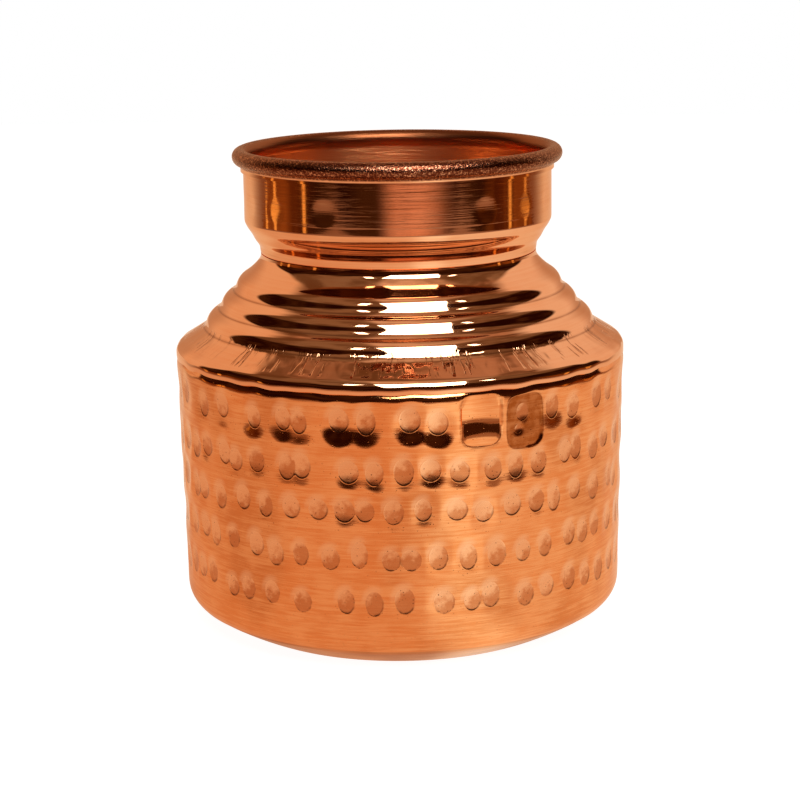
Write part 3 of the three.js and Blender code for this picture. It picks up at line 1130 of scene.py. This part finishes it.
@dataclass(frozen=True)
class Floor:
    """The table and the white sheet behind it, with the colours that their parts have in the pot's metal.

    A plane has a name, a width, and the places of its front and back edges.
    """

    planes: tuple[tuple[str, float, float, float], ...] = (("table", 1.24, -0.60, 0.35), ("sheet", 2.6, 0.35, 1.4))
    # As the metal sees them, the left colour is painted shade, the pool a painted pool of light, and the far colour
    # painted shade far from the pot.
    left: Colour = (0.68, 0.54, 0.44)
    right: Colour = (0.80, 0.79, 0.76)
    pool: Colour = (1.02, 1.22, 1.34)
    far: Colour = (0.18, 0.09, 0.055)
    back: Colour = (0.78, 0.80, 0.78)
    white: Colour = (0.95, 0.95, 0.95)
    paper: Pair = ((0.14, 0.10, 0.075), (0.35, 0.35, 0.35))

    def lay(self) -> None:
        """Lays the planes, which keep the pot's shadow."""
        for name, width, front, back in self.planes:
            bpy.ops.mesh.primitive_plane_add(size=1.0, location=(0.0, (front + back) / 2, 0.0))
            plane = bpy.context.object
            plane.name = name
            plane.scale = (width, back - front, 1.0)
            bpy.ops.object.transform_apply(scale=True)
            plane.data.materials.append(self.material(name))

    def material(self, name: str) -> bpy.types.Material:
        """Makes a plane's white. In the metal it shows painted shade left of the pot and far from it, and a painted
        pool of light on the right.
        """
        material = bpy.data.materials.new(f"white_{name}")
        tree = ShaderTree(material)
        x, y, _ = tree.parts(tree.place())
        azimuth = tree.azimuth(x, y)
        # Painted light in the metal: dimmer to the left of the pot, a bright pool on the right, and dark far from the
        # pot.
        shown = tree.layers(
            self.left,
            (self.right, tree.step(azimuth, -0.25, 0.45)),
            (self.pool, tree.window(azimuth, 0.08, 0.42, 0.44, 0.76)),
            (self.far, tree.step(x * x + y * y, 0.14, 0.26)),
            (self.back, tree.step(azimuth * azimuth, 4.0, 6.0)),
        )
        shown = tree.mix(shown, WARM_LIGHT, 1.0, "MULTIPLY")
        camera = tree.add("ShaderNodeLightPath", output="Is Camera Ray")
        paper = tree.add("ShaderNodeBsdfDiffuse", inputs={"Color": tree.mix(*self.paper, camera)})
        glow = tree.add("ShaderNodeEmission", inputs={
            "Color": tree.mix(shown, self.white, camera), "Strength": self.seen(tree)})
        tree.end("ShaderNodeOutputMaterial", tree.add("ShaderNodeAddShader", inputs={0: paper, 1: glow}))
        return material

    @staticmethod
    def seen(tree: ShaderTree) -> Wire:
        """1 for rays from the camera and from metal or glass, and 0 for the light itself."""
        camera, glossy, through = (
            tree.add("ShaderNodeLightPath", output=f"Is {ray} Ray") for ray in ("Camera", "Glossy", "Transmission"))
        return camera.maths("MINIMUM", camera + glossy + through, 1.0)


@dataclass(frozen=True)
class Room:
    """The room around the pot: white behind and beside it, and dim and warm in front.

    The two colours of a pair lie in blotches. The glints are upright lines of light at azimuths in degrees.
    """

    dark: Pair = ((0.018, 0.004, 0.001), (0.05, 0.022, 0.008))
    ceiling: Pair = ((0.16, 0.11, 0.07), (0.27, 0.22, 0.17))
    amber: Pair = ((0.08, 0.022, 0.005), (0.27, 0.10, 0.022))
    streaks: Pair = ((0.18, 0.08, 0.06), (1.0, 0.62, 0.50))
    top: Pair = ((0.45, 0.38, 0.32), (0.75, 0.70, 0.68))
    behind: Pair = ((0.15, 0.09, 0.05), (0.50, 0.36, 0.29))
    sides: Pair = ((0.86, 0.72, 0.60), (0.92, 0.90, 0.90))
    middle: Colour = (0.58, 0.44, 0.34)
    glint: Colour = (1.2, 0.75, 0.22)
    glints: tuple[float, ...] = (-114.0, -103.0, -73.0, 91.0, 109.0)

    def light(self) -> None:
        """Lights the scene by the room, which the camera sees as plain white."""
        world = bpy.data.worlds.new("room")
        bpy.context.scene.world = world
        tree = ShaderTree(world)
        ray = tree.add("ShaderNodeTexCoord", output="Generated")
        x, y, z = tree.parts(ray)
        azimuth = tree.azimuth(x, y)
        blotches = tree.step(tree.noise(tree.scaled(ray, 3.0, 5.0), detail=3.0), 0.38, 0.62)
        sparkle = tree.step(tree.noise(tree.scaled(ray, 2.0, 30.0)), 0.35, 0.6, 0.3, 1.0)
        rows = tree.step(tree.noise(tree.scaled(ray, 2.0, 260.0)), 0.35, 0.6)
        level = tree.step(z * z, 0.09, 0.03) * tree.step(z, 0.06, -0.04)
        front = tree.window(azimuth, -0.3, 0.0, 0.3, 0.8) * tree.step(z, -0.09, -0.11)
        top = tree.step(z, 0.86, 0.91) * tree.window(x, -0.22, -0.12, 0.34, 0.46) * tree.step(y, 0.2, 0.1)
        sides = tree.mix(*self.sides, tree.step(x, -0.3, 0.3))
        white = tree.mix(sides, self.middle, tree.step(y, 0.72, 0.95) * tree.step(z, 0.6, 0.2))
        ways = [azimuth - math.radians(degrees) for degrees in self.glints]
        light = tree.layers(
            tree.mix(*self.dark, blotches),
            (tree.mix(*self.ceiling, blotches), tree.step(z, 0.53, 0.63)),
            (tree.mix(*self.amber, blotches), tree.step(y, -0.5, -0.1) * level),
            (tree.mix(*self.streaks, rows), front),
            *((self.glint, tree.step(way * way, 0.0009, 0.0003) * level * sparkle) for way in ways),
            (tree.mix(*self.top, blotches), top),
            (tree.mix(*self.behind, blotches), tree.step(y, 0.12, 0.25) * tree.step(z, 0.72, 0.82)),
            (white, tree.step(y + 0.25 * z, 0.48, 0.56) * tree.step(z, 0.80, 0.70)),
        )
        light = tree.mix(light, WARM_LIGHT, 1.0, "MULTIPLY")
        light = tree.mix(light, (1.0, 1.0, 1.0), tree.add("ShaderNodeLightPath", output="Is Camera Ray"))
        tree.end("ShaderNodeOutputWorld", tree.add("ShaderNodeBackground", inputs={"Color": light, "Strength": 1.0}))


@dataclass
class Studio:
    """The camera, the softbox in front of the pot with a small lamp on each side of it, the floor and the room."""

    focal_pixels: float = 2200.0
    picture_pixels: float = 800.0
    sensor_width: float = 36.0
    distance: float = 572.5 * MM
    aim_height: float = 56.93 * MM
    pitch: float = 12.55
    roll: float = 0.85
    sideways_pixels: float = 0.69
    lamps: tuple[Lamp, ...] = (
        Lamp("softbox", 13.0, 42.0, 0.56, 0.5, 8.0),
        Lamp("left_lamp", -29.0, 47.0, 0.08, 0.16, 7.0),
        Lamp("right_lamp", 52.0, 45.0, 0.06, 0.12, 7.0),
    )

    def build(self) -> None:
        """Makes all of the studio."""
        self.camera()
        Floor().lay()
        for lamp in self.lamps:
            lamp.hang(self.aim_height)
        Room().light()
        bpy.context.scene.view_settings.view_transform = "Standard"

    def camera(self) -> None:
        """Sets the camera where the photograph was taken from."""
        pitch = math.radians(self.pitch)
        data = bpy.data.cameras.new("camera")
        data.sensor_width = self.sensor_width
        data.lens = self.sensor_width * self.focal_pixels / self.picture_pixels
        data.shift_x = -self.sideways_pixels / self.picture_pixels
        camera = bpy.data.objects.new("camera", data)
        camera.location = (0.0, -self.distance * math.cos(pitch), self.aim_height + self.distance * math.sin(pitch))
        aim = Vector((0.0, 0.0, self.aim_height)) - camera.location
        camera.rotation_euler = aim.to_track_quat("-Z", "Y").to_euler()
        camera.rotation_euler.rotate_axis("Z", math.radians(-self.roll))
        bpy.context.scene.collection.objects.link(camera)
        bpy.context.scene.camera = camera


def dress_node(node: str, finish: Copper) -> None:
    """Gives a CAD node that stays its finish."""
    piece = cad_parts[node]
    piece.data.materials.clear()
    piece.data.materials.append(finish.material())
    log.info("%s keeps its CAD shape, in %s", node, finish.name)


def main() -> None:
    """Builds the studio and the pot's pieces in order."""
    logging.basicConfig(level=logging.INFO, format="%(message)s")
    Studio().build()
    Base("dished_base", "base_dish", BASE_COPPER, 256, 0.8 * MM, 1.6 * MM).build()
    Drum("hammered_drum", "drum_wall", DRUM_COPPER, 640, 0.62 * MM, 2.1 * MM).build()
    Shoulder("ribbed_shoulder", "shoulder", SHOULDER_COPPER, 400, 0.28 * MM, 0.9 * MM).build()
    Neck("waisted_neck", "neck_collar", NECK_COPPER, 288, 0.3 * MM, 0.6 * MM).build()
    dress_node("rim_wire", WIRE_COPPER)
    for node in ("base_braze", "shoulder_braze", "neck_braze"):
        dress_node(node, BRAZE_METAL)


if __name__ == "__main__":
    main()
